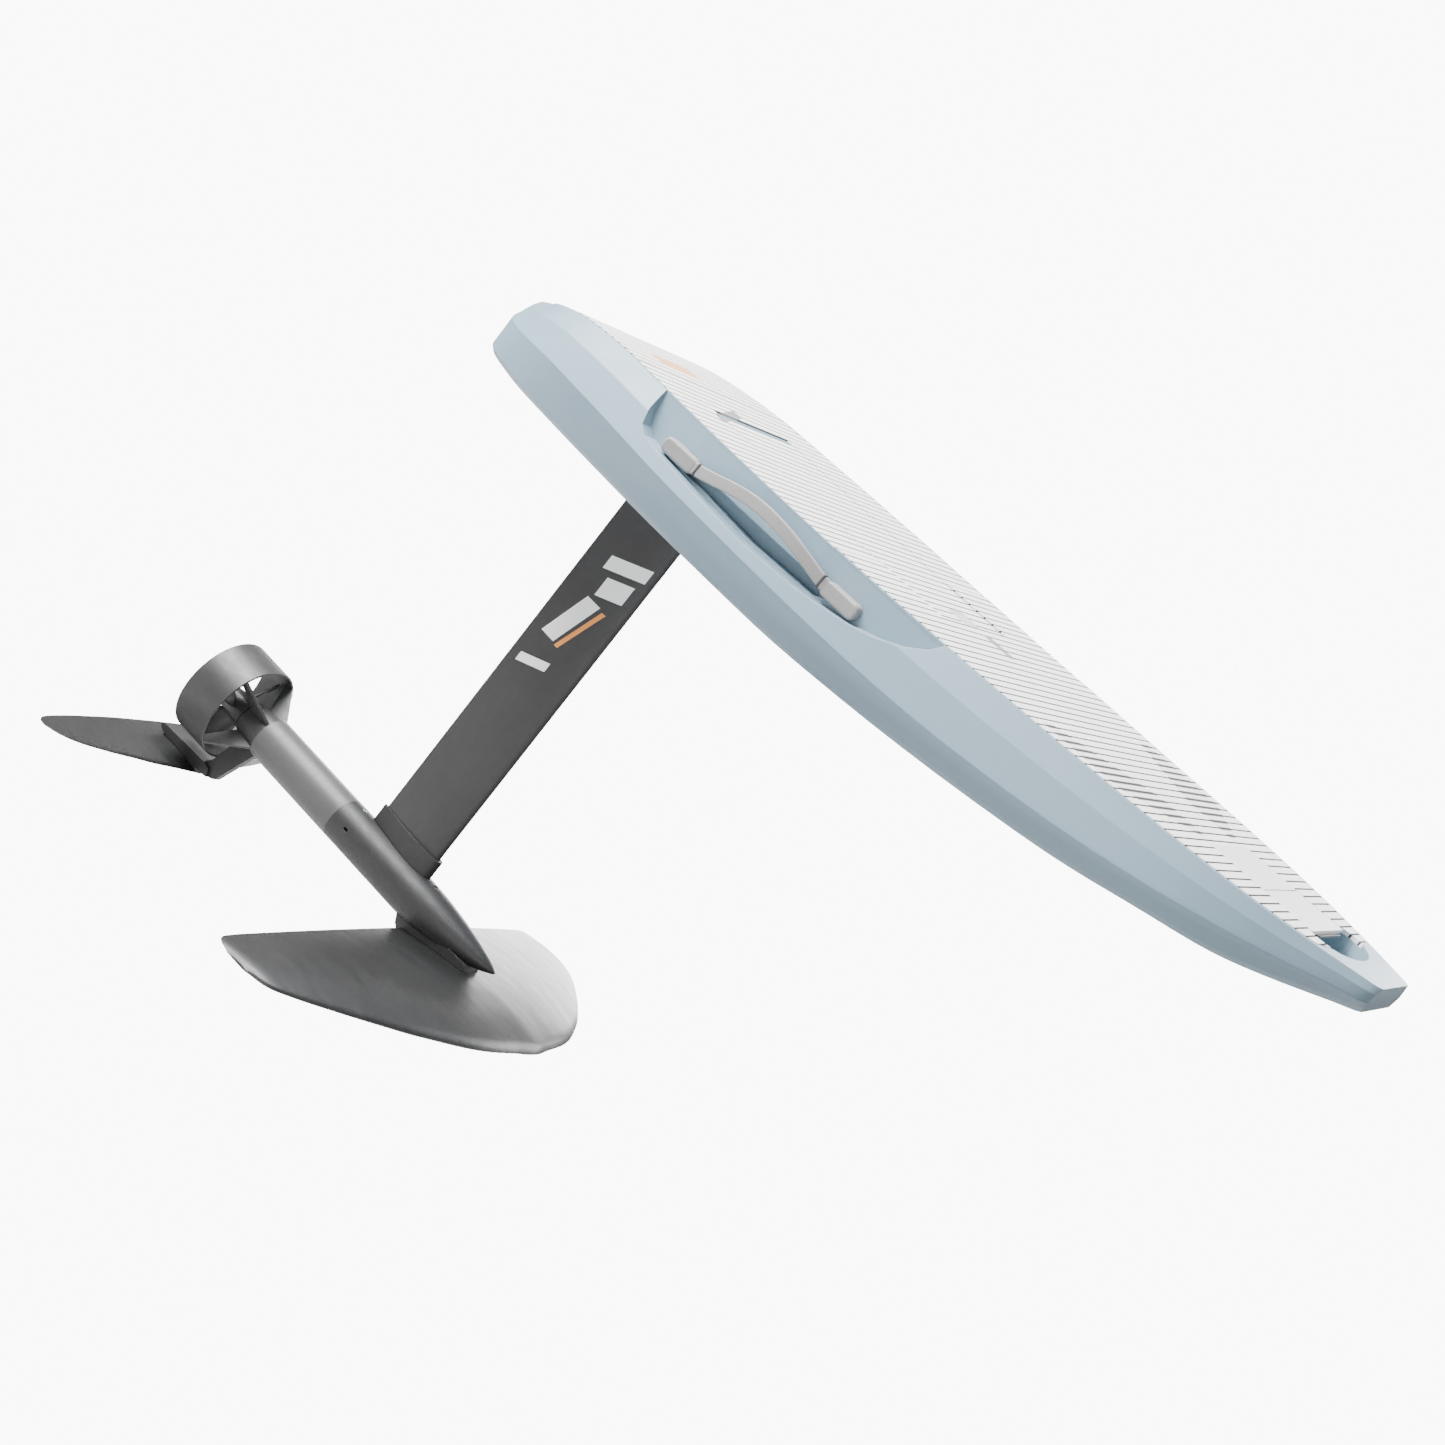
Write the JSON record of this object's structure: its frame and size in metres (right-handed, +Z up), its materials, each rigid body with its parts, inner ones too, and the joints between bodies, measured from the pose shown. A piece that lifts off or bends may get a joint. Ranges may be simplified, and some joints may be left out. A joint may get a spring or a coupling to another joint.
{
  "type": "electric hydrofoil board",
  "caption": "Electric hydrofoil board: hull with hatch and side handles, streamlined mast, motor pod with ducted propeller, front wing and tail stabiliser.",
  "frame": {"origin": "on the deck surface, straight above the middle of the mast", "axes": "+X to the nose, +Y to port, +Z up from the deck; the mast hangs along -Z"},
  "size_m": [1.7735, 0.893, 1.0711],
  "materials": {
    "hull_gelcoat": "satin",
    "eva_foam": "matte",
    "seal_rubber": "matte",
    "stainless": "satin",
    "grey_plastic": "matte",
    "battery_case": "matte",
    "white_plastic": "satin",
    "dark_plastic": "matte",
    "anodised_dark": "matte",
    "anodised_light": "matte",
    "mast_carbon": "matte",
    "lead_jacket": "matte",
    "wing_composite": "matte",
    "stator_iron": "matte",
    "rotor_magnet": "satin",
    "strap_rubber": "matte"
  },
  "bodies": {
    "board": {"battery_pack": "battery_case", "deck_pad": "eva_foam", "duct_with_stays": "dark_plastic", "front_bearing": "stainless", "front_wing": "wing_composite", "fuselage_body": "anodised_dark", "fuselage_screws": "stainless", "handle_caps_port": "strap_rubber", "handle_caps_starboard": "strap_rubber", "handle_strap_port": "strap_rubber", "handle_strap_starboard": "strap_rubber", "hatch_hinge_pins": "stainless", "hatch_seal": "seal_rubber", "hull": "hull_gelcoat", "lower_lead_grommet": "seal_rubber", "mast": "mast_carbon", "mast_collar": "anodised_dark", "mast_head_plate": "anodised_dark", "mast_head_screws": "stainless", "motor_controller": "battery_case", "motor_front_cap": "anodised_dark", "motor_housing": "anodised_light", "motor_rear_cap": "anodised_dark", "nose_flap_pin": "stainless", "nose_plate": "white_plastic", "power_leads": "lead_jacket", "rear_bearing": "stainless", "shaft_seal": "seal_rubber", "stabiliser": "wing_composite", "stabiliser_screws": "stainless", "stabiliser_shim": "dark_plastic", "stator": "stator_iron", "tail_bracket": "anodised_dark", "tail_bracket_screw": "stainless", "upper_lead_grommet": "seal_rubber", "wing_bolts": "stainless", "wing_mount_rear": "anodised_dark", "wing_mount_wedge": "anodised_dark"},
    "lid": {"hatch_lid": "hull_gelcoat", "hatch_pad": "eva_foam", "latch_paddle_pin": "stainless"},
    "paddle": {"hatch_latch_paddle": "grey_plastic"},
    "flap": {"nose_flap": "white_plastic", "nose_flap_lever": "dark_plastic"},
    "screw_drive": {"rotor": "rotor_magnet", "propeller_shaft": "stainless", "propeller": "dark_plastic", "propeller_nut": "dark_plastic"}
  },
  "joints": [
    {"name": "propeller_spin", "type": "hinge", "parent": "board", "child": "screw_drive", "pos_m": [-0.2, 0, -0.909], "axis": [1, 0, 0], "continuous": true},
    {"name": "hatch_hinge", "type": "hinge", "parent": "board", "child": "lid", "pos_m": [0.031, 0, -0.0063], "axis": [0, -1, 0], "range_deg": [0, 80]},
    {"name": "latch_paddle_hinge", "type": "hinge", "parent": "lid", "child": "paddle", "pos_m": [0.464, 0, -0.0027], "axis": [0, -1, 0], "range_deg": [0, 70]},
    {"name": "nose_flap_hinge", "type": "hinge", "parent": "board", "child": "flap", "pos_m": [1.0701, 0, 0.0115], "axis": [0, -1, 0], "range_deg": [0, 65]}
  ]
}
